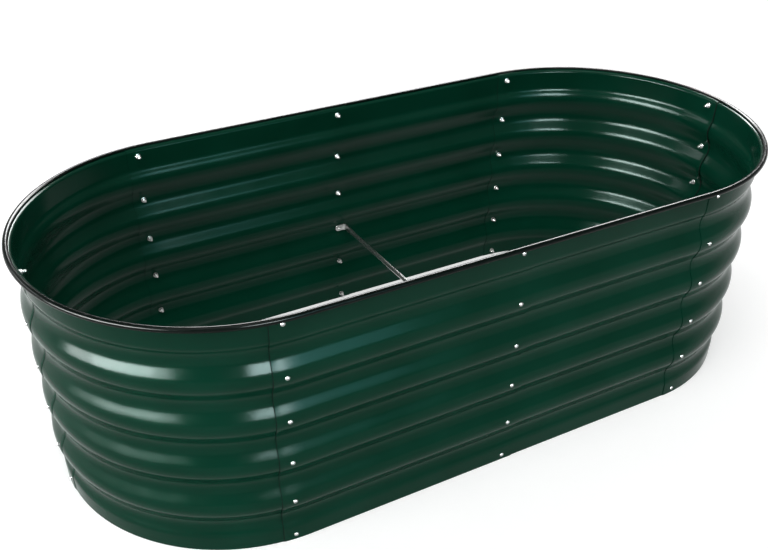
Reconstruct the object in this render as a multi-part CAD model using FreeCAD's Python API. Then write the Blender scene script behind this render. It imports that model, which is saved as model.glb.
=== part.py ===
"""Raised garden bed: eight corrugated steel sheets bolted into a long oval ring.

Frame: the origin is the middle of the bed at ground level, +X runs along its length,
-Y is the front and +Z is up. All sizes are in millimetres.

The wall is drawn once, as a line seen from its edge. Every sheet is that line given a
thickness and carried along part of the oval. "Offset" is a distance square to the wall,
outward positive, and "station" is a distance along the oval, counted anticlockwise from
the middle of the front.
"""
import FreeCAD, Part
import math
import os

Vector = FreeCAD.Vector
UP = Vector(0, 0, 1)
ORIGIN = Vector(0, 0, 0)

# --- the oval, measured on the wall line ---
STRAIGHT_LENGTH = 712.0
END_RADIUS = 292.5

# --- the wall line, from the ground up ---
CREST_COUNT = 4
WAVE_PITCH = 76.0
WAVE_DEPTH = 12.0
WAVE_ROUNDNESS = 0.907  # share of the largest radius that still joins a crest to a valley
LOWEST_CREST_HEIGHT = 85.0
BAND_BEND_RADIUS = 20.0
TOP_BAND_HEIGHT = 28.2
LIP_RADIUS = 5.0
LIP_FLANGE = 4.0

# --- the sheets and their laps ---
SHEET_THICKNESS = 0.8
LAP_CLEARANCE = 0.3
LAP_WIDTH = 40.0
CORNER_SEAM_PAST_BEND = 26.0

# --- the edge trim ---
TRIM_RADIUS = 4.5
TRIM_OFFSET = 8.0
TRIM_SLOT_CLEARANCE = 0.5
TRIM_END_CLEARANCE = 0.3
TRIM_JOINT_GAP = 0.6

# --- bolts and nuts ---
BOLT_DIAMETER = 4.0
BOLT_LENGTH = 12.0
BOLT_HEAD_RADIUS = 3.5
BOLT_HEAD_HEIGHT = 2.3
BOLT_HEAD_RIM = 0.6
BOLT_HOLE_CLEARANCE = 0.4
HEXAGON_SIDES = 6
NUT_ACROSS_FLATS = 7.0
NUT_HEIGHT = 3.2
NUT_FLANGE_RADIUS = 4.6
NUT_FLANGE_THICKNESS = 1.0
THREAD_CLEARANCE = 0.05
SEAT_CLEARANCE = 0.1
LOWEST_BOLT_HEIGHT = 10.0
TOP_BOLT_BELOW_LIP = 7.0

# --- the cross brace ---
BRACE_CREST = 1
BRACE_DIAMETER = 8.0
BRACE_TAB_THICKNESS = 3.0
BRACE_TAB_HEIGHT = 12.0
BRACE_TAB_BEND_RADIUS = 5.0
BRACE_TAB_BEYOND_BOLT = 8.0
BRACE_FROM_BOLT = 14.0
BRACE_BLADE_LENGTH = 14.0
BRACE_FLARE_LENGTH = 18.0

# --- angles ---
QUARTERS = 4
QUARTER_TURN = 90.0

# --- worked out from the sizes above ---
HALF_STRAIGHT = STRAIGHT_LENGTH / 2
END_LENGTH = math.pi * END_RADIUS
OVAL_LENGTH = 2 * STRAIGHT_LENGTH + 2 * END_LENGTH
HALF_PITCH = WAVE_PITCH / 2
WAVE_RADIUS = WAVE_ROUNDNESS * (HALF_PITCH ** 2 + WAVE_DEPTH ** 2) / (4 * WAVE_DEPTH)
VALLEY_INSET = WAVE_DEPTH / 2
HALF_LAP = LAP_WIDTH / 2
INNER_LAYER = (-LAP_CLEARANCE / 2 - SHEET_THICKNESS, -LAP_CLEARANCE / 2)
OUTER_LAYER = (LAP_CLEARANCE / 2, LAP_CLEARANCE / 2 + SHEET_THICKNESS)
LAP_INNER_FACE = INNER_LAYER[0]
LAP_OUTER_FACE = OUTER_LAYER[1]
CREST_OFFSET = WAVE_DEPTH - VALLEY_INSET
LIP_END = LIP_RADIUS + LIP_FLANGE


def flank_angle():
    """Steepest lean of the wave, so that its arcs and flanks add up to the pitch and depth."""
    across = 2 * WAVE_RADIUS - WAVE_DEPTH
    reach = math.hypot(HALF_PITCH, across)
    return math.asin(2 * WAVE_RADIUS / reach) - math.atan2(across, HALF_PITCH)


LEAN = flank_angle()
FLANK = (HALF_PITCH - 2 * WAVE_RADIUS * math.sin(LEAN)) / math.cos(LEAN)
BAND_FLANK = (VALLEY_INSET - (BAND_BEND_RADIUS + WAVE_RADIUS) * (1 - math.cos(LEAN))) / math.sin(LEAN)
BAND_TO_VALLEY = (BAND_BEND_RADIUS + WAVE_RADIUS) * math.sin(LEAN) + BAND_FLANK * math.cos(LEAN)
LOWEST_VALLEY_HEIGHT = LOWEST_CREST_HEIGHT - HALF_PITCH
TOP_VALLEY_HEIGHT = LOWEST_VALLEY_HEIGHT + CREST_COUNT * WAVE_PITCH
LIP_START_HEIGHT = TOP_VALLEY_HEIGHT + BAND_TO_VALLEY + TOP_BAND_HEIGHT
TRIM_HEIGHT = LIP_START_HEIGHT + LIP_RADIUS


# --- the wall line and sections cut from it ---

def wall_moves():
    """The wall line from the ground to the lip, as straight runs and turns.

    A turn is (radius, angle): a positive angle turns outward and a negative one inward.
    """
    quarter = math.pi / 2
    moves = [("run", LOWEST_VALLEY_HEIGHT - BAND_TO_VALLEY)]
    moves += [("turn", BAND_BEND_RADIUS, -LEAN), ("run", BAND_FLANK)]
    for _ in range(CREST_COUNT):
        moves += [("turn", WAVE_RADIUS, 2 * LEAN), ("run", FLANK)]
        moves += [("turn", WAVE_RADIUS, -2 * LEAN), ("run", FLANK)]
    moves += [("turn", WAVE_RADIUS, 2 * LEAN), ("run", BAND_FLANK)]
    moves += [("turn", BAND_BEND_RADIUS, -LEAN)]
    moves += [("run", TOP_BAND_HEIGHT)]
    moves += [("turn", LIP_RADIUS, quarter), ("run", LIP_FLANGE)]
    return moves


def outward_side(heading):
    return Vector(math.sin(heading), 0, -math.cos(heading))


def trace(offset):
    """Edges of the wall line moved square to itself by offset, from the ground up."""
    edges = []
    point = Vector(offset, 0, 0)
    heading = math.pi / 2
    for move in wall_moves():
        if move[0] == "run":
            end = point + Vector(math.cos(heading), 0, math.sin(heading)) * move[1]
            edges.append(Part.makeLine(point, end))
        else:
            side = 1 if move[2] > 0 else -1
            radius = (move[1] - side * offset) * side
            centre = point + outward_side(heading) * radius
            middle = centre - outward_side(heading - move[2] / 2) * radius
            end = centre - outward_side(heading - move[2]) * radius
            edges.append(Part.Arc(point, middle, end).toShape())
            heading -= move[2]
        point = end
    return edges


def sheet_section(layer):
    """Closed section of one sheet between two offsets of the wall line."""
    inner = trace(layer[0])
    outer = trace(layer[1])
    foot = Part.makeLine(inner[0].Vertexes[0].Point, outer[0].Vertexes[0].Point)
    top = Part.makeLine(inner[-1].Vertexes[-1].Point, outer[-1].Vertexes[-1].Point)
    return Part.Face(Part.Wire(Part.sortEdges(inner + outer + [foot, top])[0]))


def trim_section():
    """Round bead with a slot that takes the lips of two lapped sheets."""
    rim = Part.makeCircle(TRIM_RADIUS, Vector(TRIM_OFFSET, 0, TRIM_HEIGHT), Vector(0, 1, 0))
    bead = Part.Face(Part.Wire(rim))
    half_slot = LAP_OUTER_FACE + TRIM_SLOT_CLEARANCE
    slot_length = LIP_END + TRIM_END_CLEARANCE
    corner = Vector(0, 0, TRIM_HEIGHT - half_slot)
    slot = Part.makePlane(slot_length, 2 * half_slot, corner, Vector(0, -1, 0), Vector(1, 0, 0))
    return bead.cut(slot).Faces[0]


# --- the oval ---

def oval_runs():
    """The oval's runs in order: name, length, start point or centre, outward direction at the start."""
    return [
        ("straight", HALF_STRAIGHT, Vector(0, -END_RADIUS, 0), -90),
        ("bend", END_LENGTH, Vector(HALF_STRAIGHT, 0, 0), -90),
        ("straight", STRAIGHT_LENGTH, Vector(HALF_STRAIGHT, END_RADIUS, 0), 90),
        ("bend", END_LENGTH, Vector(-HALF_STRAIGHT, 0, 0), 90),
        ("straight", HALF_STRAIGHT, Vector(-HALF_STRAIGHT, -END_RADIUS, 0), 270),
    ]


def unit(angle):
    return Vector(math.cos(math.radians(angle)), math.sin(math.radians(angle)), 0)


def place_on_wall(station):
    """Point on the wall line at ground level, and the outward direction there in degrees."""
    left = station % OVAL_LENGTH
    for kind, length, start, angle in oval_runs():
        if left <= length:
            break
        left -= length
    if kind == "straight":
        return start + unit(angle + 90) * left, angle
    angle += math.degrees(left / END_RADIUS)
    return start + unit(angle) * END_RADIUS, angle


def carry(section, kind, start, angle, skip, length):
    """Carry a section along part of one run of the oval."""
    shape = section.copy()
    if kind == "straight":
        shape.rotate(ORIGIN, UP, angle)
        shape.translate(start + unit(angle + 90) * skip)
        return shape.extrude(unit(angle + 90) * length)
    shape.translate(Vector(END_RADIUS, 0, 0))
    shape = shape.revolve(ORIGIN, UP, math.degrees(length / END_RADIUS))
    shape.rotate(ORIGIN, UP, angle + math.degrees(skip / END_RADIUS))
    shape.translate(start)
    return shape


def carry_between(section, first, last):
    """Solid of a section carried along the oval from one station to another."""
    pieces = []
    for lap in (0, 1):
        run_start = lap * OVAL_LENGTH
        for kind, length, start, angle in oval_runs():
            begin = max(first, run_start)
            end = min(last, run_start + length)
            if end > begin:
                pieces.append(carry(section, kind, start, angle, begin - run_start, end - begin))
            run_start += length
    joined = pieces[0]
    if len(pieces) > 1:
        joined = pieces[0].fuse(pieces[1:]).removeSplitter()
    return joined.Solids[0]


# --- seams, in order round the oval from the middle of the front ---

QUARTER = OVAL_LENGTH / 4
HALF_OVAL = OVAL_LENGTH / 2
CORNER_SEAM = HALF_STRAIGHT + CORNER_SEAM_PAST_BEND
SEAMS = {
    "front_middle": 0.0,
    "front_right": CORNER_SEAM,
    "right_end": QUARTER,
    "back_right": HALF_OVAL - CORNER_SEAM,
    "back_middle": HALF_OVAL,
    "back_left": HALF_OVAL + CORNER_SEAM,
    "left_end": HALF_OVAL + QUARTER,
    "front_left": OVAL_LENGTH - CORNER_SEAM,
}

# Each sheet runs from one seam to the next, and every second sheet laps over its neighbours.
SHEETS = {
    "panel_front_right": ("front_middle", "front_right", INNER_LAYER),
    "corner_front_right": ("front_right", "right_end", OUTER_LAYER),
    "corner_back_right": ("right_end", "back_right", INNER_LAYER),
    "panel_back_right": ("back_right", "back_middle", OUTER_LAYER),
    "panel_back_left": ("back_middle", "back_left", INNER_LAYER),
    "corner_back_left": ("back_left", "left_end", OUTER_LAYER),
    "corner_front_left": ("left_end", "front_left", INNER_LAYER),
    "panel_front_left": ("front_left", "front_middle", OUTER_LAYER),
}


def crest_height(number):
    return LOWEST_CREST_HEIGHT + number * WAVE_PITCH


def bolt_rows():
    """Height of each bolt in a seam, and whether it sits on a crest."""
    rows = [(LOWEST_BOLT_HEIGHT, False)]
    rows += [(crest_height(number), True) for number in range(CREST_COUNT)]
    rows += [(LIP_START_HEIGHT - TOP_BOLT_BELOW_LIP, False)]
    return rows


def stand_on_wall(shape, station, offset, height):
    """Put a shape drawn round +X, with its seat at x = 0, on the wall with +X outward."""
    foot, angle = place_on_wall(station)
    placed = shape.copy()
    placed.rotate(ORIGIN, UP, angle)
    placed.translate(foot + unit(angle) * offset + UP * height)
    return placed


def sagitta(radius, half_chord):
    """How far a hollow of this radius drops below a flat face this wide laid across it."""
    return radius - math.sqrt(radius ** 2 - half_chord ** 2)


# --- sheets ---

def hole_tool():
    reach = CREST_OFFSET + WAVE_DEPTH
    radius = (BOLT_DIAMETER + BOLT_HOLE_CLEARANCE) / 2
    return Part.makeCylinder(radius, 2 * reach, Vector(-reach, 0, 0), Vector(1, 0, 0))


def make_sheet(first_seam, last_seam, layer):
    first = SEAMS[first_seam] - HALF_LAP
    last = SEAMS[last_seam] + HALF_LAP
    if first < 0:
        first += OVAL_LENGTH
        last += OVAL_LENGTH
    if last < first:
        last += OVAL_LENGTH
    sheet = carry_between(sheet_section(layer), first, last)
    holes = []
    for seam in (first_seam, last_seam):
        for height, _ in bolt_rows():
            holes.append(stand_on_wall(hole_tool(), SEAMS[seam], 0, height))
    return sheet.cut(holes).Solids[0]


# --- edge trim ---

def make_trim():
    """One length of trim all round, with its butt joint at the middle of the back."""
    first = HALF_OVAL + TRIM_JOINT_GAP / 2
    return carry_between(trim_section(), first, first + OVAL_LENGTH - TRIM_JOINT_GAP)


# --- fasteners ---

def make_bolt():
    """Round-headed bolt with its head's underside at x = 0 and its head outward."""
    shank = BOLT_DIAMETER / 2
    crown = Vector(BOLT_HEAD_HEIGHT, 0, 0)
    rim = Vector(BOLT_HEAD_RIM, 0, BOLT_HEAD_RADIUS)
    rise = BOLT_HEAD_HEIGHT - BOLT_HEAD_RIM
    ball = (BOLT_HEAD_RADIUS ** 2 + rise ** 2) / (2 * rise)
    half_turn = math.asin(BOLT_HEAD_RADIUS / ball) / 2
    shoulder = Vector(crown.x - ball * (1 - math.cos(half_turn)), 0, ball * math.sin(half_turn))
    outline = [
        Part.makeLine(Vector(-BOLT_LENGTH, 0, 0), Vector(-BOLT_LENGTH, 0, shank)),
        Part.makeLine(Vector(-BOLT_LENGTH, 0, shank), Vector(0, 0, shank)),
        Part.makeLine(Vector(0, 0, shank), Vector(0, 0, BOLT_HEAD_RADIUS)),
        Part.makeLine(Vector(0, 0, BOLT_HEAD_RADIUS), rim),
        Part.Arc(rim, shoulder, crown).toShape(),
        Part.makeLine(crown, Vector(-BOLT_LENGTH, 0, 0)),
    ]
    return Part.Face(Part.Wire(outline)).revolve(ORIGIN, Vector(1, 0, 0), 360)


def make_nut():
    """Hexagonal flange nut with its flange's face at x = 0 and its body inward."""
    inward = Vector(-1, 0, 0)
    step = 2 * math.pi / HEXAGON_SIDES
    corner = NUT_ACROSS_FLATS / 2 / math.cos(step / 2)
    turns = [k * step for k in range(HEXAGON_SIDES + 1)]
    corners = [Vector(0, corner * math.sin(turn), corner * math.cos(turn)) for turn in turns]
    body = Part.Face(Part.makePolygon(corners)).extrude(inward * (NUT_FLANGE_THICKNESS + NUT_HEIGHT))
    flange = Part.makeCylinder(NUT_FLANGE_RADIUS, NUT_FLANGE_THICKNESS, ORIGIN, inward)
    bore = Part.makeCylinder(BOLT_DIAMETER / 2 + THREAD_CLEARANCE, BOLT_LENGTH, ORIGIN, inward)
    return body.fuse(flange).cut(bore).Solids[0]


def head_seat(on_crest):
    """Offset of the underside of a bolt's head."""
    return LAP_OUTER_FACE + SEAT_CLEARANCE + (CREST_OFFSET if on_crest else 0)


def wall_seat(on_crest, half_height):
    """Offset of a flat face of this half height laid against the inside of a lap."""
    if on_crest:
        hollow = sagitta(WAVE_RADIUS + LAP_INNER_FACE, half_height)
        return CREST_OFFSET + LAP_INNER_FACE - hollow - SEAT_CLEARANCE
    hollow = sagitta(END_RADIUS + LAP_INNER_FACE, half_height)
    return LAP_INNER_FACE - hollow - SEAT_CLEARANCE


def brace_seat():
    return wall_seat(True, BRACE_TAB_HEIGHT / 2)


def nut_seat(seam, height, on_crest):
    """Offset of a nut's flange, which bears on the brace's tab where there is one."""
    if seam in ("front_middle", "back_middle") and height == crest_height(BRACE_CREST):
        return brace_seat() - BRACE_TAB_THICKNESS - SEAT_CLEARANCE
    return wall_seat(on_crest, NUT_FLANGE_RADIUS)


def make_bolts(seam):
    bolt = make_bolt()
    station = SEAMS[seam]
    return Part.makeCompound([
        stand_on_wall(bolt, station, head_seat(on_crest), height)
        for height, on_crest in bolt_rows()
    ])


def make_nuts(seam):
    nut = make_nut()
    station = SEAMS[seam]
    return Part.makeCompound([
        stand_on_wall(nut, station, nut_seat(seam, height, on_crest), height)
        for height, on_crest in bolt_rows()
    ])


# --- cross brace ---

def bend_arc(centre, radius, start, end):
    """Quarter circle from start to end that bulges toward +X and +Y."""
    middle = centre + unit(45) * radius
    return Part.Arc(start, middle, end).toShape()


def brace_outline():
    """Tab, bend and blade of a flattened rod end seen from above, for the back wall at y = 0."""
    thick = BRACE_TAB_THICKNESS
    tip = -BRACE_TAB_BEYOND_BOLT
    near = BRACE_FROM_BOLT - thick / 2
    far = near + thick
    inside = BRACE_TAB_BEND_RADIUS
    outside = inside + thick
    centre = Vector(near - inside, -outside, 0)
    end = centre.y - BRACE_BLADE_LENGTH
    outer_start, outer_end = Vector(centre.x, 0, 0), Vector(far, centre.y, 0)
    inner_start, inner_end = Vector(near, centre.y, 0), Vector(centre.x, -thick, 0)
    return [
        Part.makeLine(Vector(tip, 0, 0), outer_start),
        bend_arc(centre, outside, outer_start, outer_end),
        Part.makeLine(outer_end, Vector(far, end, 0)),
        Part.makeLine(Vector(far, end, 0), Vector(near, end, 0)),
        Part.makeLine(Vector(near, end, 0), inner_start),
        bend_arc(centre, inside, inner_start, inner_end),
        Part.makeLine(inner_end, Vector(tip, -thick, 0)),
        Part.makeLine(Vector(tip, -thick, 0), Vector(tip, 0, 0)),
    ]


def brace_end():
    """Flattened end of the rod, bent along the wall and drilled, for the back wall at y = 0."""
    half_height = BRACE_TAB_HEIGHT / 2
    blade = Part.Face(Part.Wire(brace_outline())).extrude(UP * BRACE_TAB_HEIGHT)
    blade.translate(UP * -half_height)
    blade_end = blade.BoundBox.YMin
    tip_edges = [edge for edge in blade.Edges if is_tip_edge(edge)]
    blade = blade.makeFillet(half_height - SEAT_CLEARANCE, tip_edges)
    hole_radius = (BOLT_DIAMETER + BOLT_HOLE_CLEARANCE) / 2
    hole = Part.makeCylinder(hole_radius, BRACE_TAB_THICKNESS, ORIGIN, Vector(0, -1, 0))
    return blade.cut(hole).fuse(brace_flare(blade_end)), blade_end - BRACE_FLARE_LENGTH


def is_tip_edge(edge):
    box = edge.BoundBox
    return abs(box.XMax + BRACE_TAB_BEYOND_BOLT) < SEAT_CLEARANCE and box.YLength > box.ZLength


def brace_flare(blade_end):
    """Where the round rod is pressed flat: a loft from its circle to the blade's end."""
    half_thick = BRACE_TAB_THICKNESS / 2
    half_height = BRACE_TAB_HEIGHT / 2
    radius = BRACE_DIAMETER / 2
    rod_end = blade_end - BRACE_FLARE_LENGTH
    round_edges = []
    flat_edges = []
    for quarter in range(QUARTERS):
        turns = [quarter * QUARTER_TURN + share * QUARTER_TURN for share in (0.5, 1, 1.5)]
        spots = [unit(turn) * radius for turn in turns]
        round_spots = [Vector(BRACE_FROM_BOLT + spot.x, rod_end, spot.y) for spot in spots]
        round_edges.append(Part.Arc(*round_spots).toShape())
        flat_start = flat_corner(spots[0], half_thick, half_height, blade_end)
        flat_end = flat_corner(spots[-1], half_thick, half_height, blade_end)
        flat_edges.append(Part.makeLine(flat_start, flat_end))
    return Part.makeLoft([Part.Wire(round_edges), Part.Wire(flat_edges)], True, True)


def flat_corner(spot, half_thick, half_height, blade_end):
    """Corner of the blade's end on the same side of the rod as spot."""
    x = BRACE_FROM_BOLT + math.copysign(half_thick, spot.x)
    return Vector(x, blade_end, math.copysign(half_height, spot.y))


def make_brace():
    """Rod from the front wall to the back one, bolted on at both middle seams."""
    end, rod_end = brace_end()
    wall = END_RADIUS + brace_seat()
    height = crest_height(BRACE_CREST)
    back = end.copy()
    back.translate(Vector(0, wall, height))
    front = end.mirror(ORIGIN, Vector(0, 1, 0))
    front.translate(Vector(0, -wall, height))
    half_rod = wall + rod_end
    start = Vector(BRACE_FROM_BOLT, -half_rod, height)
    rod = Part.makeCylinder(BRACE_DIAMETER / 2, 2 * half_rod, start, Vector(0, 1, 0))
    return rod.fuse([back, front]).removeSplitter().Solids[0]


# --- the whole bed ---

def all_nodes():
    nodes = {name: make_sheet(*spec) for name, spec in SHEETS.items()}
    nodes["edge_trim"] = make_trim()
    nodes["cross_brace"] = make_brace()
    for seam in SEAMS:
        nodes["bolts_" + seam] = make_bolts(seam)
        nodes["nuts_" + seam] = make_nuts(seam)
    return nodes


os.makedirs("parts", exist_ok=True)
for node, solid in all_nodes().items():
    solid.exportStep("parts/" + node + ".step")
    print(node, len(solid.Solids), "solids", solid.isValid(), round(solid.Volume))
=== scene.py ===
"""Looks for the raised garden bed: painted corrugated sheets, edge trim, zinc bolts and nuts, cross brace.

Everything is in metres, in the same frame as the solids. The wall line, the oval and the
places of the bolts repeat the named sizes of the part's source.
"""
import bmesh
import bpy
import math
import numpy as np
import random
from mathutils import Matrix, Vector


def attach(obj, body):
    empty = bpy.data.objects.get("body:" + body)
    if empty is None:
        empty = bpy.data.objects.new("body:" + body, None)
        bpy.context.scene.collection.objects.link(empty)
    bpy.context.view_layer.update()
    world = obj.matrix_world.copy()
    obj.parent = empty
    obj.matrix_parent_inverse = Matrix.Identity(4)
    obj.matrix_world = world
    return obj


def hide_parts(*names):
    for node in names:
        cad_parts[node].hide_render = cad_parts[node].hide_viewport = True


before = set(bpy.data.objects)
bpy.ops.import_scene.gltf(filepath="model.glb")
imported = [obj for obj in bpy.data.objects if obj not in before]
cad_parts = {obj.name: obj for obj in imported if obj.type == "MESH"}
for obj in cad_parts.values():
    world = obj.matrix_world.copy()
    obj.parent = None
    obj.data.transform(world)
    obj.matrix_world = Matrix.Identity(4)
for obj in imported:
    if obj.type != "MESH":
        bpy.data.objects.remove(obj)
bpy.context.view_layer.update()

MM = 0.001

# --- sizes repeated from the solids ---
HALF_STRAIGHT = 356 * MM
END_RADIUS = 292.5 * MM
CREST_COUNT = 4
WAVE_PITCH = 76 * MM
WAVE_DEPTH = 12 * MM
WAVE_ROUNDNESS = 0.907
LOWEST_CREST = 85 * MM
BAND_BEND = 20 * MM
TOP_BAND = 28.2 * MM
LIP_RADIUS = 5 * MM
LIP_FLANGE = 4 * MM
SHEET_INNER_FACE = 0.15 * MM
SHEET_OUTER_FACE = 0.95 * MM
HALF_LAP = 20 * MM
SEAM_PAST_BEND = 26 * MM
TRIM_RADIUS = 4.5 * MM
TRIM_OFFSET = 8 * MM
TRIM_SLOT_HALF = 1.45 * MM
TRIM_SLOT_END = 9.3 * MM
TRIM_JOINT_GAP = 0.6 * MM
LOWEST_BOLT = 10 * MM
TOP_BOLT_BELOW_LIP = 7 * MM
BOLT_RADIUS = 2 * MM
BOLT_LENGTH = 12 * MM
HEAD_RADIUS = 3.5 * MM
HEAD_HEIGHT = 2.3 * MM
HEAD_RIM = 0.6 * MM
NUT_HALF_FLATS = 3.5 * MM
NUT_HEIGHT = 3.2 * MM
NUT_FLANGE_RADIUS = 4.6 * MM
NUT_FLANGE = 1 * MM
SEAT_GAP = 0.1 * MM
BRACE_CREST = 1
BRACE_FROM_BOLT = 14 * MM
BRACE_THICK = 3 * MM
BRACE_HIGH = 12 * MM
BRACE_INSIDE_BEND = 5 * MM
BRACE_BLADE = 14 * MM
BRACE_FLARE = 18 * MM
BRACE_TIP = -8 * MM
ROD_RADIUS = 4 * MM

# --- finer shapes that only the scene has ---
TRIM_MOUTH_EASE = 0.35 * MM
TRIM_EASE_BEND = (0.55 * MM, 0.12 * MM)
TRIM_EASE_DEPTH = 0.95 * MM
HEAD_EASE = 0.12 * MM
RECESS_ARM = 1.7 * MM
RECESS_HALF_SLOT = 0.34 * MM
RECESS_CUTTER_TOP = 3.0 * MM
RECESS_FLOOR = 0.8 * MM
RECESS_TAPER = 0.62
THREAD_PITCH = 0.7 * MM
THREAD_DEPTH = 0.32 * MM
PLAIN_SHANK = 2.2 * MM
SHANK_TIP = 0.6 * MM
SHANK_TIP_CUT = 0.3 * MM
NUT_BORE_GAP = 0.05 * MM
NUT_BORE_CHAMFER = 0.4 * MM
NUT_BORE_EDGE = 0.5 * MM
NUT_HEX_BELOW_FLANGE = 0.1 * MM
# Edges of the nut, each with its rounding steps (along, out) in millimetres.
FLANGE_STEPS = ((0, -0.2), (-0.15, 0), (-0.65, 0), (-0.9, -0.15))
SHOULDER_STEPS = ((-0.2, 0.05), (-0.5, 0))
CORNER_STEPS = ((0.8, 0), (0.45, -0.1))
FAR_FACE_STEPS = ((0.15, 0.1), (0, -0.2))
BRACE_EASE = 0.5 * MM
BRACE_TIP_LEAST = 1.2 * MM
BRACE_TIP_BLUNTNESS = 2.5

# Lapped edges, at a sheet's first seam and at its last: between bolts a spring lifts the edge off the
# sheet below, and a minus presses it on.
EDGE_REACH = 13 * MM
EDGE_PRESS = -0.27 * MM
EDGE_SPRINGS = {
    "panel_front_left": (1.0 * MM, EDGE_PRESS),
    "corner_back_right": (1.2 * MM, EDGE_PRESS),
}
EDGE_MARKS = (0.15, 0.3, 0.5, 0.75, 1)
# Width of the near-black painted seam shade along a sheet's first lapped edge, in metres.
SEAM_SHADE_STRIPS = {"panel_front_left": 0.8 * MM, "corner_back_right": 1.9 * MM}
ROLL_REACH = 4 * MM
ROLL_THINNED = 0.6 * MM
ROLLED_EDGES = ("corner_back_left",)

# --- how fine the meshes are ---
WALL_ARC_STEP = math.radians(4.5)
WALL_RUN_STEP = 12 * MM
SHEET_STEP = 24 * MM
SHEET_BEND_STEP = math.radians(2) * END_RADIUS
TRIM_STEP = 30 * MM
TRIM_BEND_STEP = math.radians(2.5) * END_RADIUS
TRIM_TURNS = 44
HEAD_SIDES = 32
HEAD_DOME_ROWS = 10
SHANK_SIDES = 16
THREAD_ROWS = 4
NUT_SIDES = 48
BRACE_ROWS = 8
BRACE_BEND_ROWS = 10
BAR_CORNER_STEPS = 5
BAR_SIDES = 4 * (BAR_CORNER_STEPS + 1)
SHORTEST_STRETCH = 1e-9
# Edges that bend by less than these degrees are shaded smooth.
SMOOTH_BELOW = 40
ZINC_SMOOTH_BELOW = 35
BRACE_SMOOTH_BELOW = 50

# --- worked out ---
HALF_PITCH = WAVE_PITCH / 2
WAVE_RADIUS = WAVE_ROUNDNESS * (HALF_PITCH ** 2 + WAVE_DEPTH ** 2) / (4 * WAVE_DEPTH)
VALLEY_INSET = WAVE_DEPTH / 2
ACROSS = 2 * WAVE_RADIUS - WAVE_DEPTH
LEAN = math.asin(2 * WAVE_RADIUS / math.hypot(HALF_PITCH, ACROSS)) - math.atan2(ACROSS, HALF_PITCH)
FLANK = (HALF_PITCH - 2 * WAVE_RADIUS * math.sin(LEAN)) / math.cos(LEAN)
BAND_FLANK = (VALLEY_INSET - (BAND_BEND + WAVE_RADIUS) * (1 - math.cos(LEAN))) / math.sin(LEAN)
BAND_TO_VALLEY = (BAND_BEND + WAVE_RADIUS) * math.sin(LEAN) + BAND_FLANK * math.cos(LEAN)
LOWEST_VALLEY = LOWEST_CREST - HALF_PITCH
TOP_VALLEY = LOWEST_VALLEY + CREST_COUNT * WAVE_PITCH
LIP_START = TOP_VALLEY + BAND_TO_VALLEY + TOP_BAND
TRIM_HEIGHT = LIP_START + LIP_RADIUS
TOP_BOLT = LIP_START - TOP_BOLT_BELOW_LIP
CREST_OFFSET = WAVE_DEPTH - VALLEY_INSET
END_LENGTH = math.pi * END_RADIUS
OVAL = 4 * HALF_STRAIGHT + 2 * END_LENGTH
CORNER_SEAM = HALF_STRAIGHT + SEAM_PAST_BEND

# Places on the oval, measured from the middle of the front toward the right.
SEAMS = {
    "front_middle": 0.0,
    "front_right": CORNER_SEAM,
    "right_end": OVAL / 4,
    "back_right": OVAL / 2 - CORNER_SEAM,
    "back_middle": OVAL / 2,
    "back_left": OVAL / 2 + CORNER_SEAM,
    "left_end": 3 * OVAL / 4,
    "front_left": OVAL - CORNER_SEAM,
}
BRACE_SEAMS = ("front_middle", "back_middle")

# Each sheet: its first seam, its last seam and its side of the laps.
INNER = (-SHEET_OUTER_FACE, -SHEET_INNER_FACE)
OUTER = (SHEET_INNER_FACE, SHEET_OUTER_FACE)
SHEETS = {
    "panel_front_right": ("front_middle", "front_right", INNER),
    "corner_front_right": ("front_right", "right_end", OUTER),
    "corner_back_right": ("right_end", "back_right", INNER),
    "panel_back_right": ("back_right", "back_middle", OUTER),
    "panel_back_left": ("back_middle", "back_left", INNER),
    "corner_back_left": ("back_left", "left_end", OUTER),
    "corner_front_left": ("left_end", "front_left", INNER),
    "panel_front_left": ("front_left", "front_middle", OUTER),
}

# --- looks: colours are linear, and each surface drifts between its two ---
PAINT_COLOURS = ((0.0008, 0.0320, 0.0165), (0.0016, 0.0395, 0.0215))
# Near-black painted shade for the lapped seams, standing in for the shadow in the gap.
SEAM_SHADE_COLOURS = ((0.001, 0.003, 0.002), (0.002, 0.012, 0.008))
TRIM_COLOURS = ((0.0005, 0.003, 0.002), (0.001, 0.005, 0.0035))
ZINC_COLOURS = ((0.40, 0.41, 0.41), (0.50, 0.50, 0.48))
FLOOR_COLOURS = ((0.86, 0.86, 0.86), (0.88, 0.88, 0.88))
PAINT_SPECULAR_TINT = (0.85, 1.0, 0.99, 1)
WHITE = (1, 1, 1, 1)
NOISE_LOW, NOISE_HIGH = 0.3, 0.7

# --- surroundings ---
FLOOR_LIFT = 0.3
FLOOR_HALF = 30.0
WORLD_LEVEL = 0.4
SUN_LEVEL = 1.5
LAMP_DISTANCE = 4
LAMP_AIM = np.array([0.0, 0.0, LOWEST_CREST + (CREST_COUNT - 1) * WAVE_PITCH])
LEFT_LAMP_ROLL = 11
COOL_WHITE = (0.88, 0.97, 1.0)
CYAN = (0.45, 0.9, 1.0)
DEEP_CYAN = (0.35, 0.9, 1.0)

# --- camera, fitted to the photograph ---
CAMERA_PLACE = (-0.7861, -1.2538, 1.0891)
CAMERA_AZIMUTH = -30.04
CAMERA_ELEVATION = 38.24
CAMERA_ROLL = 0.741
FOCAL_PX = 964.82
CENTRE_X_PX, CENTRE_Y_PX = 384, 400
WIDE_PX, HIGH_PX = 768, 550
SENSOR_WIDTH = 36
CLIP_START, CLIP_END = 0.02, 200


# --- places on the oval ---

def place_on_bend(middle_x, angle):
    """Point on an end's bend at ground level, and the outward direction there."""
    point = np.array([middle_x, 0]) + END_RADIUS * np.array([math.cos(angle), math.sin(angle)])
    return point, angle


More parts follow.
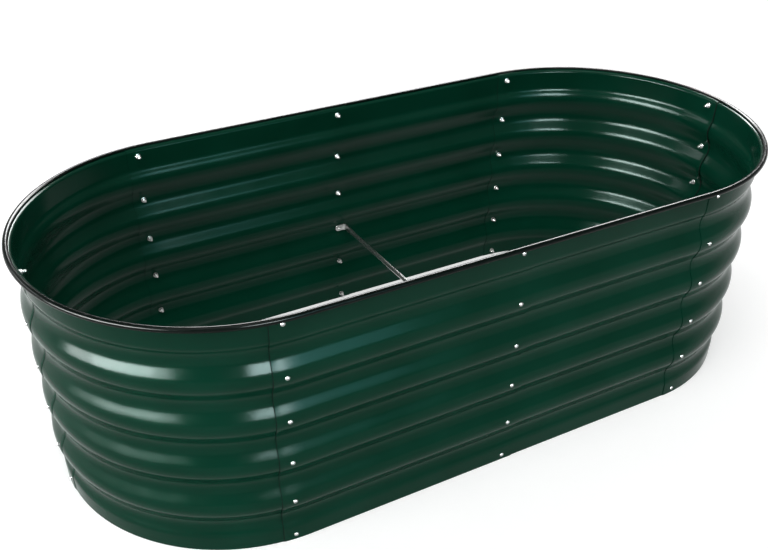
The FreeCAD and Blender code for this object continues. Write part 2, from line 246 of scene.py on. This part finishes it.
def place_on_oval(station):
    """Point on the wall line at ground level, and the outward direction there."""
    s = station % OVAL
    if s < HALF_STRAIGHT:
        return np.array([s, -END_RADIUS]), -math.pi / 2
    s -= HALF_STRAIGHT
    if s < END_LENGTH:
        return place_on_bend(HALF_STRAIGHT, -math.pi / 2 + s / END_RADIUS)
    s -= END_LENGTH
    if s < 2 * HALF_STRAIGHT:
        return np.array([HALF_STRAIGHT - s, END_RADIUS]), math.pi / 2
    s -= 2 * HALF_STRAIGHT
    if s < END_LENGTH:
        return place_on_bend(-HALF_STRAIGHT, math.pi / 2 + s / END_RADIUS)
    s -= END_LENGTH
    return np.array([s - HALF_STRAIGHT, -END_RADIUS]), -math.pi / 2


def stations_between(first, last, straight_step, bend_step):
    """Stations from first to last, which may lie one turn on, closer together on the bends."""
    turn = [0, HALF_STRAIGHT, HALF_STRAIGHT + END_LENGTH, 3 * HALF_STRAIGHT + END_LENGTH,
            3 * HALF_STRAIGHT + 2 * END_LENGTH, OVAL]
    steps = (straight_step, bend_step, straight_step, bend_step, straight_step) * 2
    edges = turn + [edge + OVAL for edge in turn[1:]]
    marks = [first]
    for start, end, step in zip(edges, edges[1:], steps):
        low, high = max(start, first), min(end, last)
        if high - low < SHORTEST_STRETCH:
            continue
        count = max(1, math.ceil((high - low) / step))
        marks += [low + (high - low) * k / count for k in range(1, count + 1)]
    return marks


# --- rings of points joined by quads ---

def ring_quads(rows, count):
    """Quads between neighbouring rows of count points each."""
    faces = []
    for row in range(rows - 1):
        a, b = row * count, (row + 1) * count
        for k in range(count):
            n = (k + 1) % count
            faces.append((a + k, a + n, b + n, b + k))
    return faces


def ring_cap(row, count):
    """One face over a whole row."""
    return tuple(range(row * count, (row + 1) * count))


def sweep(ring, marks, shift=None):
    """Vertices and quads of a closed ring of (offset, height) points carried along the oval.

    shift(station, heights) may move each point outward a little.
    """
    ring = np.array(ring)
    verts = []
    for s in marks:
        foot, angle = place_on_oval(s)
        out = np.array([math.cos(angle), math.sin(angle)])
        offsets = ring[:, 0] + (shift(s, ring[:, 1]) if shift else 0)
        xy = foot + offsets[:, None] * out
        verts.append(np.column_stack([xy, ring[:, 1]]))
    return np.concatenate(verts), ring_quads(len(marks), len(ring))


# --- the wall line ---

def wall_line():
    """Points of the wall line from the ground up: offset, height and the lean of its outward normal."""
    to_crest = [("turn", WAVE_RADIUS, 2 * LEAN), ("run", FLANK)]
    to_valley = [("turn", WAVE_RADIUS, -2 * LEAN), ("run", FLANK)]
    moves = [("run", LOWEST_VALLEY - BAND_TO_VALLEY), ("turn", BAND_BEND, -LEAN), ("run", BAND_FLANK)]
    moves += (to_crest + to_valley) * CREST_COUNT
    moves += [("turn", WAVE_RADIUS, 2 * LEAN), ("run", BAND_FLANK), ("turn", BAND_BEND, -LEAN)]
    moves += [("run", TOP_BAND), ("turn", LIP_RADIUS, math.pi / 2), ("run", LIP_FLANGE)]
    points = [(0.0, 0.0, 0.0)]
    heading, x, z = math.pi / 2, 0.0, 0.0
    for kind, size, *bend in moves:
        if kind == "run":
            pieces = max(1, math.ceil(size / WALL_RUN_STEP))
            for k in range(1, pieces + 1):
                far = size * k / pieces
                lean = heading - math.pi / 2
                points.append((x + math.cos(heading) * far, z + math.sin(heading) * far, lean))
        else:
            angle = bend[0]
            radius = math.copysign(size, angle)
            middle_x, middle_z = x + math.sin(heading) * radius, z - math.cos(heading) * radius
            pieces = math.ceil(abs(angle) / WALL_ARC_STEP)
            for k in range(1, pieces + 1):
                h = heading - angle * k / pieces
                lean = h - math.pi / 2
                points.append((middle_x - math.sin(h) * radius, middle_z + math.cos(h) * radius, lean))
            heading -= angle
        x, z = points[-1][0], points[-1][1]
    return np.array(points)


WALL = wall_line()


def wall_at(offset):
    """The wall line moved outward by offset."""
    lean = WALL[:, 2]
    return np.column_stack([WALL[:, 0] + np.cos(lean) * offset, WALL[:, 1] + np.sin(lean) * offset])


# --- places of bolts and nuts ---

def bolt_rows():
    """Height of each bolt in a seam, and whether it sits on a crest."""
    rows = [(LOWEST_BOLT, False)]
    rows += [(LOWEST_CREST + k * WAVE_PITCH, True) for k in range(CREST_COUNT)]
    return rows + [(TOP_BOLT, False)]


def sagitta(radius, half_chord):
    """How far an arc rises over its chord."""
    return radius - math.sqrt(radius ** 2 - half_chord ** 2)


def head_seat(on_crest):
    """Offset of a bolt head's underside."""
    return SHEET_OUTER_FACE + SEAT_GAP + (CREST_OFFSET if on_crest else 0)


def wall_seat(on_crest, half_height):
    """Offset of a flat face of this half height, the seat gap off the inner side of the wall."""
    radius = (WAVE_RADIUS if on_crest else END_RADIUS) - SHEET_OUTER_FACE
    base = (CREST_OFFSET if on_crest else 0) - SHEET_OUTER_FACE
    return base - sagitta(radius, half_height) - SEAT_GAP


BRACE_SEAT = wall_seat(True, BRACE_HIGH / 2)


def nut_seat(seam, row, on_crest):
    """Offset of a nut's flange: on the brace's tab where it lies between, else on the wall."""
    if seam in BRACE_SEAMS and row == BRACE_CREST + 1:
        return BRACE_SEAT - BRACE_THICK - SEAT_GAP
    return wall_seat(on_crest, NUT_FLANGE_RADIUS)


# --- meshes ---

def face_outward(mesh):
    """Turns every face of a closed mesh outward."""
    work = bmesh.new()
    work.from_mesh(mesh)
    bmesh.ops.recalc_face_normals(work, faces=work.faces)
    work.to_mesh(mesh)
    work.free()
    mesh.update()


def add_object(name, data):
    """A new object in the scene."""
    thing = bpy.data.objects.new(name, data)
    bpy.context.scene.collection.objects.link(thing)
    return thing


def mesh_piece(name, verts, faces, material, node, smooth_below=SMOOTH_BELOW):
    """A visible piece that stands in for one node of the solids."""
    mesh = bpy.data.meshes.new(name)
    mesh.from_pydata([tuple(v) for v in verts], [], faces)
    mesh.validate()
    mesh.update()
    mesh.polygons.foreach_set("use_smooth", [True] * len(mesh.polygons))
    mesh.set_sharp_from_angle(angle=math.radians(smooth_below))
    mesh.materials.append(material)
    face_outward(mesh)
    piece = add_object(name, mesh)
    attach(piece, "root")
    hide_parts(node)
    return piece


def between_bolts(heights):
    """0 at each bolt and beyond the end bolts, 1 halfway between two neighbours."""
    rows = [height for height, _ in bolt_rows()]
    rise = np.zeros(len(heights))
    for low, high in zip(rows, rows[1:]):
        inside = (heights > low) & (heights < high)
        rise[inside] = np.sin(math.pi * (heights[inside] - low) / (high - low))
    return rise


def edge_shift(first, last, layer, at_first, at_last, thinned):
    """Moves the two lapped edges of a sheet: plus springs off the sheet below, minus presses onto it.

    thinned takes a little off the outer face at the last edge, as a rolled edge has.
    """
    away = 1 if layer == OUTER else -1

    def shift(station, heights):
        moved = np.zeros(len(heights))
        for edge, amount in ((first, at_first), (last, at_last)):
            near = max(0.0, 1 - abs(station - edge) / EDGE_REACH)
            moved += away * amount * near * near * between_bolts(heights)
        rolled = max(0.0, 1 - (last - station) / ROLL_REACH)
        moved[len(moved) // 2:] -= thinned * rolled
        return moved

    return shift


def make_sheet(node, first_seam, last_seam, layer, paint, seam_shade):
    """One corrugated sheet from half a lap before its first seam to half a lap past its last."""
    first, last = SEAMS[first_seam] - HALF_LAP, SEAMS[last_seam] + HALF_LAP
    if first < 0:
        first, last = first + OVAL, last + OVAL
    if last < first:
        last += OVAL
    inner, outer = wall_at(layer[0]), wall_at(layer[1])
    ring = np.concatenate([inner, outer[::-1]])
    count = len(ring)
    marks = stations_between(first, last, SHEET_STEP, SHEET_BEND_STEP)
    near_edge = [EDGE_REACH * share for share in EDGE_MARKS]
    marks += [first + d for d in near_edge] + [last - d for d in near_edge]
    # A row of faces as wide as the strip of painted seam shade.
    if node in SEAM_SHADE_STRIPS:
        marks.append(first + SEAM_SHADE_STRIPS[node])
    marks = sorted(set(marks))
    springs = EDGE_SPRINGS.get(node, (EDGE_PRESS, EDGE_PRESS))
    thinned = ROLL_THINNED if node in ROLLED_EDGES else 0.0
    verts, faces = sweep(ring, marks, edge_shift(first, last, layer, *springs, thinned))
    walls = len(faces)
    for base in (0, (len(marks) - 1) * count):
        for k in range(len(inner) - 1):
            quad = (base + k, base + k + 1, base + count - 2 - k, base + count - 1 - k)
            faces.append(quad if base else quad[::-1])
    piece = mesh_piece("sheet_" + node, verts, faces, paint, node)
    # Painted seam shade: the near-black second material goes on both cut edges and on the first row of
    # faces beside the first lapped edge.
    if node in SEAM_SHADE_STRIPS:
        piece.data.materials.append(seam_shade)
        for face in list(piece.data.polygons[:count]) + list(piece.data.polygons[walls:]):
            face.material_index = 1


def make_trim(material):
    """Round bead with a slot whose mouth is eased, one length round the oval."""
    mouth = math.asin((TRIM_SLOT_HALF + TRIM_MOUTH_EASE) / TRIM_RADIUS)
    ring = []
    for k in range(TRIM_TURNS + 1):
        angle = math.pi - mouth - (2 * math.pi - 2 * mouth) * k / TRIM_TURNS
        x, z = TRIM_RADIUS * math.cos(angle), TRIM_RADIUS * math.sin(angle)
        ring.append((TRIM_OFFSET + x, TRIM_HEIGHT + z))
    left = TRIM_OFFSET - TRIM_RADIUS
    bend_depth, bend_rise = TRIM_EASE_BEND
    slot = [
        (left + bend_depth, -TRIM_SLOT_HALF - bend_rise),
        (left + TRIM_EASE_DEPTH, -TRIM_SLOT_HALF),
        (TRIM_SLOT_END, -TRIM_SLOT_HALF),
    ]
    ring += [(x, TRIM_HEIGHT + z) for x, z in slot]
    ring += [(x, TRIM_HEIGHT - z) for x, z in slot[::-1]]
    first = OVAL / 2 + TRIM_JOINT_GAP / 2
    marks = stations_between(first, first + OVAL - TRIM_JOINT_GAP, TRIM_STEP, TRIM_BEND_STEP)
    verts, faces = sweep(ring, marks)
    faces.append(ring_cap(0, len(ring))[::-1])
    faces.append(ring_cap(len(marks) - 1, len(ring)))
    mesh_piece("trim_bead", verts, faces, material, "edge_trim")


# --- bolts and nuts, drawn round +X with rows of (x, radius) ---

def lathe(rows, count, radius_at=None):
    """Vertices and quads of rows turned round +X. radius_at(x, radius, angle) may change a radius."""
    verts = []
    for x, radius in rows:
        for k in range(count):
            angle = 2 * math.pi * k / count
            r = radius_at(x, radius, angle) if radius_at else radius
            verts.append((x, r * math.cos(angle), r * math.sin(angle)))
    return verts, ring_quads(len(rows), count)


def head_mesh():
    """Round bolt head, drawn outward from its underside at x = 0."""
    rise = HEAD_HEIGHT - HEAD_RIM
    ball = (HEAD_RADIUS ** 2 + rise ** 2) / (2 * rise)
    full = math.asin(HEAD_RADIUS / ball)
    rows = [
        (0, BOLT_RADIUS),
        (0, HEAD_RADIUS - HEAD_EASE),
        (HEAD_EASE, HEAD_RADIUS),
        (HEAD_RIM - HEAD_EASE, HEAD_RADIUS),
    ]
    for k in range(1, HEAD_DOME_ROWS):
        angle = full * (1 - k / HEAD_DOME_ROWS)
        rows.append((HEAD_HEIGHT - ball * (1 - math.cos(angle)), ball * math.sin(angle)))
    verts, faces = lathe(rows, HEAD_SIDES)
    faces.append(ring_cap(len(rows) - 1, HEAD_SIDES))
    faces.append(ring_cap(0, HEAD_SIDES)[::-1])
    return verts, faces


def recess_cutter_mesh():
    """A cross that narrows toward the floor of the recess."""
    arm, half = RECESS_ARM, RECESS_HALF_SLOT
    outline = [(half, half), (half, arm), (-half, arm), (-half, half), (-arm, half), (-arm, -half),
               (-half, -half), (-half, -arm), (half, -arm), (half, -half), (arm, -half), (arm, half)]
    count = len(outline)
    points = [(RECESS_CUTTER_TOP, y, z) for y, z in outline]
    points += [(RECESS_FLOOR, y * RECESS_TAPER, z * RECESS_TAPER) for y, z in outline]
    return points, ring_quads(2, count) + [ring_cap(0, count), ring_cap(1, count)]


def cut_recess(head, cutter):
    """The head with a cross-shaped recess cut into its crown."""
    things = []
    for name, (verts, faces) in (("recess_head", head), ("recess_cutter", cutter)):
        mesh = bpy.data.meshes.new(name)
        mesh.from_pydata(verts, [], faces)
        face_outward(mesh)
        things.append(add_object(name, mesh))
    blank, tool = things
    modifier = blank.modifiers.new("cut", "BOOLEAN")
    modifier.operation = "DIFFERENCE"
    modifier.solver = "EXACT"
    modifier.object = tool
    bpy.context.view_layer.update()
    cut = bpy.data.meshes.new_from_object(blank.evaluated_get(bpy.context.evaluated_depsgraph_get()))
    verts, faces = [tuple(v.co) for v in cut.vertices], [tuple(p.vertices) for p in cut.polygons]
    for thing in things:
        bpy.data.objects.remove(thing)
    return verts, faces


def shank_mesh():
    """Threaded shank, from under the head to its eased tip."""
    step = THREAD_PITCH / THREAD_ROWS
    steps = round((BOLT_LENGTH - PLAIN_SHANK) / step)
    rows = [(0.0, BOLT_RADIUS), (-PLAIN_SHANK, BOLT_RADIUS)]
    for k in range(steps):
        rows.append((-PLAIN_SHANK - (BOLT_LENGTH - PLAIN_SHANK) * (k + 1) / steps, BOLT_RADIUS))

    def threaded(x, r, angle):
        if x > -PLAIN_SHANK - step / 2:
            return r
        turn = (x / THREAD_PITCH + angle / (2 * math.pi)) % 1
        groove = THREAD_DEPTH * (1 - abs(2 * turn - 1))
        tip = min(1.0, max(0.0, (-x - BOLT_LENGTH + SHANK_TIP) / SHANK_TIP))
        return r - groove - SHANK_TIP_CUT * tip

    verts, faces = lathe(rows, SHANK_SIDES, threaded)
    faces.append(ring_cap(len(rows) - 1, SHANK_SIDES)[::-1])
    return verts, faces


def nut_mesh():
    """Hexagonal flange nut with eased corners and a chamfered bore, its flange's face at x = 0."""
    bore = BOLT_RADIUS + NUT_BORE_GAP
    corner = NUT_HALF_FLATS / math.cos(math.pi / 6)
    far = NUT_FLANGE + NUT_HEIGHT
    edges = (
        (0, NUT_FLANGE_RADIUS, FLANGE_STEPS),
        (-NUT_FLANGE, corner, SHOULDER_STEPS),
        (-far, corner, CORNER_STEPS),
        (-far, NUT_HALF_FLATS, FAR_FACE_STEPS),
    )
    rows = [(0, bore)]
    for x, radius, steps in edges:
        rows += [(x + along * MM, radius + out * MM) for along, out in steps]
    rows += [(-far, bore + NUT_BORE_CHAMFER), (-far + NUT_BORE_CHAMFER, bore)]

    def hexed(x, r, angle):
        if x > -NUT_FLANGE - NUT_HEX_BELOW_FLANGE or r < bore + NUT_BORE_EDGE:
            return r
        from_flat = (angle % (math.pi / 3)) - math.pi / 6
        return min(r, NUT_HALF_FLATS / math.cos(from_flat))

    verts, faces = lathe(rows, NUT_SIDES, hexed)
    last = (len(rows) - 1) * NUT_SIDES
    for k in range(NUT_SIDES):
        n = (k + 1) % NUT_SIDES
        faces.append((last + k, last + n, n, k))
    return verts, faces


def placed(verts, station, offset, height, spin):
    """Vertices drawn round +X, spun about it and put on the wall with +X outward."""
    v = np.array(verts)
    c, s = math.cos(spin), math.sin(spin)
    v = np.column_stack([v[:, 0] + offset, v[:, 1] * c - v[:, 2] * s, v[:, 1] * s + v[:, 2] * c])
    foot, angle = place_on_oval(station)
    out = np.array([math.cos(angle), math.sin(angle)])
    side = np.array([-out[1], out[0]])
    xy = foot + v[:, :1] * out + v[:, 1:2] * side
    return np.column_stack([xy, v[:, 2] + height])


def gather(pieces):
    """Several (vertices, faces) joined into one."""
    verts, faces, base = [], [], 0
    for v, f in pieces:
        verts.append(np.array(v))
        faces += [tuple(i + base for i in face) for face in f]
        base += len(v)
    return np.concatenate(verts), faces


def make_fasteners(material, spins):
    """The bolts and nuts of every seam, each turned by its own amount."""
    bolt = gather([cut_recess(head_mesh(), recess_cutter_mesh()), shank_mesh()])
    nut = nut_mesh()
    for seam, station in SEAMS.items():
        bolts, nuts = [], []
        for row, (height, on_crest) in enumerate(bolt_rows()):
            spin = spins.uniform(0, math.pi)
            bolts.append((placed(bolt[0], station, head_seat(on_crest), height, spin), bolt[1]))
            spin = spins.uniform(0, math.pi)
            nuts.append((placed(nut[0], station, nut_seat(seam, row, on_crest), height, spin), nut[1]))
        for node, group in (("bolts_" + seam, bolts), ("nuts_" + seam, nuts)):
            verts, faces = gather(group)
            mesh_piece("zinc_" + node, verts, faces, material, node, ZINC_SMOOTH_BELOW)


# --- cross brace ---

def bar_section(wide, high, corner):
    """Rounded rectangle, or a circle when the corner takes the whole size."""
    ring = []
    for quarter in range(4):
        side_x = 1 if quarter in (0, 3) else -1
        side_z = 1 if quarter in (0, 1) else -1
        for k in range(BAR_CORNER_STEPS + 1):
            angle = math.radians(90 * quarter + 90 * k / BAR_CORNER_STEPS)
            ring.append((side_x * (wide / 2 - corner) + corner * math.cos(angle),
                         side_z * (high / 2 - corner) + corner * math.sin(angle)))
    return ring


def brace_half():
    """Rows (x, y, turn, (wide, high, corner)) from the middle of the rod to the tip of its back tab."""
    round_bar = (2 * ROD_RADIUS, 2 * ROD_RADIUS, ROD_RADIUS)
    flat_bar = (BRACE_THICK, BRACE_HIGH, BRACE_EASE)
    wall = END_RADIUS + BRACE_SEAT
    rod_end = wall - (BRACE_INSIDE_BEND + BRACE_THICK) - BRACE_BLADE - BRACE_FLARE
    half_blade = rod_end + BRACE_FLARE + BRACE_BLADE / 2
    bend_start = rod_end + BRACE_FLARE + BRACE_BLADE
    bend_radius = BRACE_INSIDE_BEND + BRACE_THICK / 2
    path = [(BRACE_FROM_BOLT, rod_end * k / BRACE_ROWS, 0.0, round_bar) for k in range(BRACE_ROWS + 1)]
    for k in range(1, BRACE_ROWS + 1):
        share = k / BRACE_ROWS
        ease = share * share * (3 - 2 * share)
        wide, high, corner = (a + (b - a) * ease for a, b in zip(round_bar, flat_bar))
        size = (wide, high, min(corner, wide / 2, high / 2))
        path.append((BRACE_FROM_BOLT, rod_end + BRACE_FLARE * share, 0.0, size))
    path += [(BRACE_FROM_BOLT, y, 0.0, flat_bar) for y in (half_blade, bend_start)]
    bend_x = BRACE_FROM_BOLT - bend_radius
    for k in range(1, BRACE_BEND_ROWS + 1):
        turn = math.pi / 2 * k / BRACE_BEND_ROWS
        x, y = bend_x + bend_radius * math.cos(turn), bend_start + bend_radius * math.sin(turn)
        path.append((x, y, turn, flat_bar))
    tab_y = bend_start + bend_radius
    path.append((0.0, tab_y, math.pi / 2, flat_bar))
    round_start = BRACE_TIP + BRACE_HIGH / 2
    for k in range(1, BRACE_ROWS + 1):
        angle = math.pi / 2 * k / BRACE_ROWS
        tall = max(BRACE_HIGH * math.cos(angle), BRACE_TIP_LEAST)
        size = (BRACE_THICK, tall, min(BRACE_EASE, tall / BRACE_TIP_BLUNTNESS))
        path.append((round_start - (BRACE_HIGH / 2) * math.sin(angle), tab_y, math.pi / 2, size))
    return path


def make_brace(material):
    """Rod pressed flat at both ends, each end bent along the wall."""
    height = LOWEST_CREST + BRACE_CREST * WAVE_PITCH
    rows = []
    for x, y, turn, size in brace_half():
        section = np.array(bar_section(*size))
        across = np.array([math.cos(turn), math.sin(turn)])
        xy = np.array([x, y]) + section[:, :1] * across
        rows.append(np.column_stack([xy, section[:, 1] + height]))
    to_front = np.array([1, -1, 1])
    rows = [row * to_front for row in rows[:0:-1]] + rows
    faces = ring_quads(len(rows), BAR_SIDES)
    faces += [ring_cap(0, BAR_SIDES), ring_cap(len(rows) - 1, BAR_SIDES)]
    verts = np.concatenate(rows)
    mesh_piece("zinc_cross_brace", verts, faces, material, "cross_brace", BRACE_SMOOTH_BELOW)


# --- materials ---

class Surface:
    """A new material whose shader is fed by noise in the object's own coordinates."""

    def __init__(self, name):
        self.material = bpy.data.materials.new(name)
        self.material.use_nodes = True
        self.nodes = self.material.node_tree.nodes
        self.links = self.material.node_tree.links
        self.inputs = self.nodes["Principled BSDF"].inputs

    def noise(self, scale, detail):
        """Noise about the middle of 0 to 1."""
        coordinates = self.nodes.new("ShaderNodeTexCoord")
        texture = self.nodes.new("ShaderNodeTexNoise")
        texture.inputs["Scale"].default_value = scale
        texture.inputs["Detail"].default_value = detail
        self.links.new(coordinates.outputs["Object"], texture.inputs["Vector"])
        return texture.outputs["Fac"]

    def drift(self, low, high, scale, detail):
        """Noise spread over low to high."""
        spread = self.nodes.new("ShaderNodeMapRange")
        spread.inputs["From Min"].default_value = NOISE_LOW
        spread.inputs["From Max"].default_value = NOISE_HIGH
        spread.inputs["To Min"].default_value = low
        spread.inputs["To Max"].default_value = high
        self.links.new(self.noise(scale, detail), spread.inputs["Value"])
        return spread.outputs["Result"]

    def colour(self, pair, scale, detail):
        """Base colour that drifts between a pair."""
        mix = self.nodes.new("ShaderNodeMix")
        mix.data_type = "RGBA"
        mix.inputs["A"].default_value = (*pair[0], 1)
        mix.inputs["B"].default_value = (*pair[1], 1)
        self.links.new(self.drift(0.0, 1.0, scale, detail), mix.inputs["Factor"])
        self.links.new(mix.outputs["Result"], self.inputs["Base Color"])

    def roughness(self, low, high, scale, detail):
        """Roughness that drifts between low and high."""
        self.links.new(self.drift(low, high, scale, detail), self.inputs["Roughness"])

    def bumps(self, *layers):
        """Bumps (scale, detail, strength, distance), each laid onto the one before."""
        below = None
        for scale, detail, strength, distance in layers:
            bump = self.nodes.new("ShaderNodeBump")
            bump.inputs["Strength"].default_value = strength
            bump.inputs["Distance"].default_value = distance
            self.links.new(self.noise(scale, detail), bump.inputs["Height"])
            if below:
                self.links.new(below, bump.inputs["Normal"])
            below = bump.outputs["Normal"]
        self.links.new(below, self.inputs["Normal"])

    def plain(self, socket, value):
        """The same value all over."""
        self.inputs[socket].default_value = value


def paint_material():
    """Dark green baked paint: faint mottling, orange peel and the slow waviness of thin sheet."""
    paint = Surface("painted_sheet_green")
    paint.colour(PAINT_COLOURS, scale=9.0, detail=2.0)
    paint.roughness(0.15, 0.21, scale=30.0, detail=4.0)
    orange_peel, waviness = (900.0, 1.0, 0.05, 0.0004), (7.0, 1.0, 0.25, 0.003)
    paint.bumps(orange_peel, waviness)
    paint.plain("Specular IOR Level", 0.07)
    paint.plain("Specular Tint", PAINT_SPECULAR_TINT)
    return paint.material


def seam_shade_material():
    """Near-black painted shade of the lapped seams, for a sheet's cut edges and a thin strip beside its
    first edge.
    """
    edge = Surface("painted_sheet_seam_shade")
    edge.colour(SEAM_SHADE_COLOURS, scale=120.0, detail=3.0)
    edge.plain("Roughness", 0.8)
    edge.plain("Specular IOR Level", 0.05)
    return edge.material


def trim_material():
    """Near-black green rubber with a smooth skin."""
    rubber = Surface("edge_trim_rubber")
    rubber.colour(TRIM_COLOURS, scale=40.0, detail=3.0)
    rubber.roughness(0.16, 0.26, scale=60.0, detail=3.0)
    grain = (1500.0, 2.0, 0.06, 0.0002)
    rubber.bumps(grain)
    rubber.plain("Specular IOR Level", 0.08)
    return rubber.material


def zinc_material():
    """Bright zinc plate: fine uneven gloss and a faint warm and cool tint."""
    zinc = Surface("zinc_plated_steel")
    zinc.colour(ZINC_COLOURS, scale=180.0, detail=3.0)
    zinc.roughness(0.22, 0.38, scale=700.0, detail=4.0)
    grain = (2500.0, 3.0, 0.08, 0.0001)
    zinc.bumps(grain)
    zinc.plain("Metallic", 1.0)
    return zinc.material


# --- surroundings ---

def add_math(surface, operation, first, second):
    """A math node with first linked in, and second linked in or written as a number."""
    node = surface.nodes.new("ShaderNodeMath")
    node.operation = operation
    surface.links.new(first, node.inputs[0])
    if isinstance(second, float):
        node.inputs[1].default_value = second
    else:
        surface.links.new(second, node.inputs[1])
    return node.outputs[0]


def floor_material():
    """White floor that keeps the object's shadow: seen or mirrored, it is lifted by its own light."""
    floor = Surface("studio_floor")
    floor.colour(FLOOR_COLOURS, scale=3.0, detail=2.0)
    floor.plain("Roughness", 0.9)
    floor.plain("Specular IOR Level", 0.0)
    floor.plain("Emission Color", WHITE)
    rays = floor.nodes.new("ShaderNodeLightPath").outputs
    seen = add_math(floor, "MAXIMUM", rays["Is Camera Ray"], rays["Is Glossy Ray"])
    seen = add_math(floor, "MAXIMUM", seen, rays["Is Transmission Ray"])
    floor.links.new(add_math(floor, "MULTIPLY", seen, FLOOR_LIFT), floor.inputs["Emission Strength"])
    return floor.material


def make_floor():
    """A floor that reaches past the picture on every side."""
    mesh = bpy.data.meshes.new("studio_floor")
    s = FLOOR_HALF
    mesh.from_pydata([(-s, -s, 0), (s, -s, 0), (s, s, 0), (-s, s, 0)], [], [(0, 1, 2, 3)])
    mesh.materials.append(floor_material())
    floor = add_object("studio_floor", mesh)


def make_world():
    """Even light from all round."""
    world = bpy.data.worlds.new("studio_world")
    world.use_nodes = True
    background = world.node_tree.nodes["Background"]
    background.inputs["Color"].default_value = WHITE
    background.inputs["Strength"].default_value = WORLD_LEVEL
    bpy.context.scene.world = world


def direction(azimuth, elevation):
    """Unit vector from the object, in degrees: azimuth 0 is the front and minus is the left."""
    az, el = math.radians(azimuth), math.radians(elevation)
    return np.array([math.sin(az) * math.cos(el), -math.cos(az) * math.cos(el), math.sin(el)])


def facing(out):
    """Rotation that turns a lamp's back to this direction, and so its light the other way."""
    return Vector(out).to_track_quat("Z", "Y")


def make_strip(name, azimuths, elevations, radiance, roll=0.0, only_gloss=False, colour=(1, 1, 1)):
    """Soft strip lamp that spans these angles, in degrees, as seen from the middle of the bed.

    With only_gloss it makes highlights and adds nothing to the diffuse light.
    """
    half_wide = math.radians(azimuths[1] - azimuths[0]) / 2
    half_tall = math.radians(elevations[1] - elevations[0]) / 2
    elevation = sum(elevations) / 2
    out = direction(sum(azimuths) / 2, elevation)
    data = bpy.data.lights.new(name, "AREA")
    data.shape = "RECTANGLE"
    data.color = colour
    data.size = 2 * LAMP_DISTANCE * math.cos(math.radians(elevation)) * math.tan(half_wide)
    data.size_y = 2 * LAMP_DISTANCE * math.tan(half_tall)
    data.energy = radiance * math.pi * data.size * data.size_y
    lamp = add_object(name, data)
    turn = facing(out).to_matrix() @ Matrix.Rotation(math.radians(roll), 3, "Z")
    lamp.matrix_world = Matrix.Translation(Vector(LAMP_AIM + out * LAMP_DISTANCE)) @ turn.to_4x4()
    lamp.visible_diffuse = not only_gloss


def make_sun(name, azimuth, elevation, spread, strength):
    """Distant lamp with soft shadows, its direction and spread in degrees."""
    data = bpy.data.lights.new(name, "SUN")
    data.angle = math.radians(spread)
    data.energy = strength
    add_object(name, data).rotation_euler = facing(direction(azimuth, elevation)).to_euler()


def make_lights():
    """A broad overhead lamp, and strips in the directions that the photo's highlights come from.

    Each strip has its azimuths, its elevations and its radiance.
    """
    make_sun("lamp_overhead", azimuth=-30, elevation=72, spread=45, strength=SUN_LEVEL)
    make_strip("lamp_left", (-110, -54), (5.5, 22), 48, LEFT_LAMP_ROLL, only_gloss=True)
    make_strip("lamp_left_core", (-94, -62), (6.5, 22), 50, LEFT_LAMP_ROLL, only_gloss=True)
    make_strip("lamp_front", (-15, 4), (10.6, 24), 78, only_gloss=True, colour=COOL_WHITE)
    make_strip("lamp_front_right", (4, 12), (9.0, 22), 16, only_gloss=True, colour=CYAN)
    make_strip("lamp_front_far_right", (12, 21), (9.0, 22), 8, only_gloss=True, colour=DEEP_CYAN)
    make_strip("lamp_left_fill", (-100, -50), (12, 20), 6)
    make_strip("lamp_back_left", (-145, -117), (16.5, 23.5), 12)
    make_strip("lamp_back", (112, 172), (30, 46), 60, only_gloss=True)


def make_camera():
    """The photograph's camera."""
    back = Vector(direction(CAMERA_AZIMUTH, CAMERA_ELEVATION))
    right = Vector((0, 0, 1)).cross(back).normalized()
    up = back.cross(right)
    roll = math.radians(CAMERA_ROLL)
    rolled_right = right * math.cos(roll) + up * math.sin(roll)
    rolled_up = up * math.cos(roll) - right * math.sin(roll)
    data = bpy.data.cameras.new("photo_camera")
    data.sensor_fit = "HORIZONTAL"
    data.sensor_width = SENSOR_WIDTH
    data.lens = FOCAL_PX / WIDE_PX * SENSOR_WIDTH
    data.shift_x = -(CENTRE_X_PX - WIDE_PX / 2) / WIDE_PX
    data.shift_y = (CENTRE_Y_PX - HIGH_PX / 2) / WIDE_PX
    data.clip_start, data.clip_end = CLIP_START, CLIP_END
    camera = add_object("photo_camera", data)
    turn = Matrix((rolled_right, rolled_up, back)).transposed().to_4x4()
    camera.matrix_world = Matrix.Translation(Vector(CAMERA_PLACE)) @ turn
    bpy.context.scene.camera = camera


# --- the whole scene ---

SPINS = random.Random(7)
PAINT = paint_material()
# Near-black painted seam shade.
SEAM_SHADE_MATERIAL = seam_shade_material()
TRIM = trim_material()
ZINC = zinc_material()
for sheet, (seam_a, seam_b, sheet_layer) in SHEETS.items():
    make_sheet(sheet, seam_a, seam_b, sheet_layer, PAINT, SEAM_SHADE_MATERIAL)
make_trim(TRIM)
make_fasteners(ZINC, SPINS)
make_brace(ZINC)
make_floor()
make_world()
make_lights()
make_camera()
bpy.context.scene.view_settings.view_transform = "Standard"
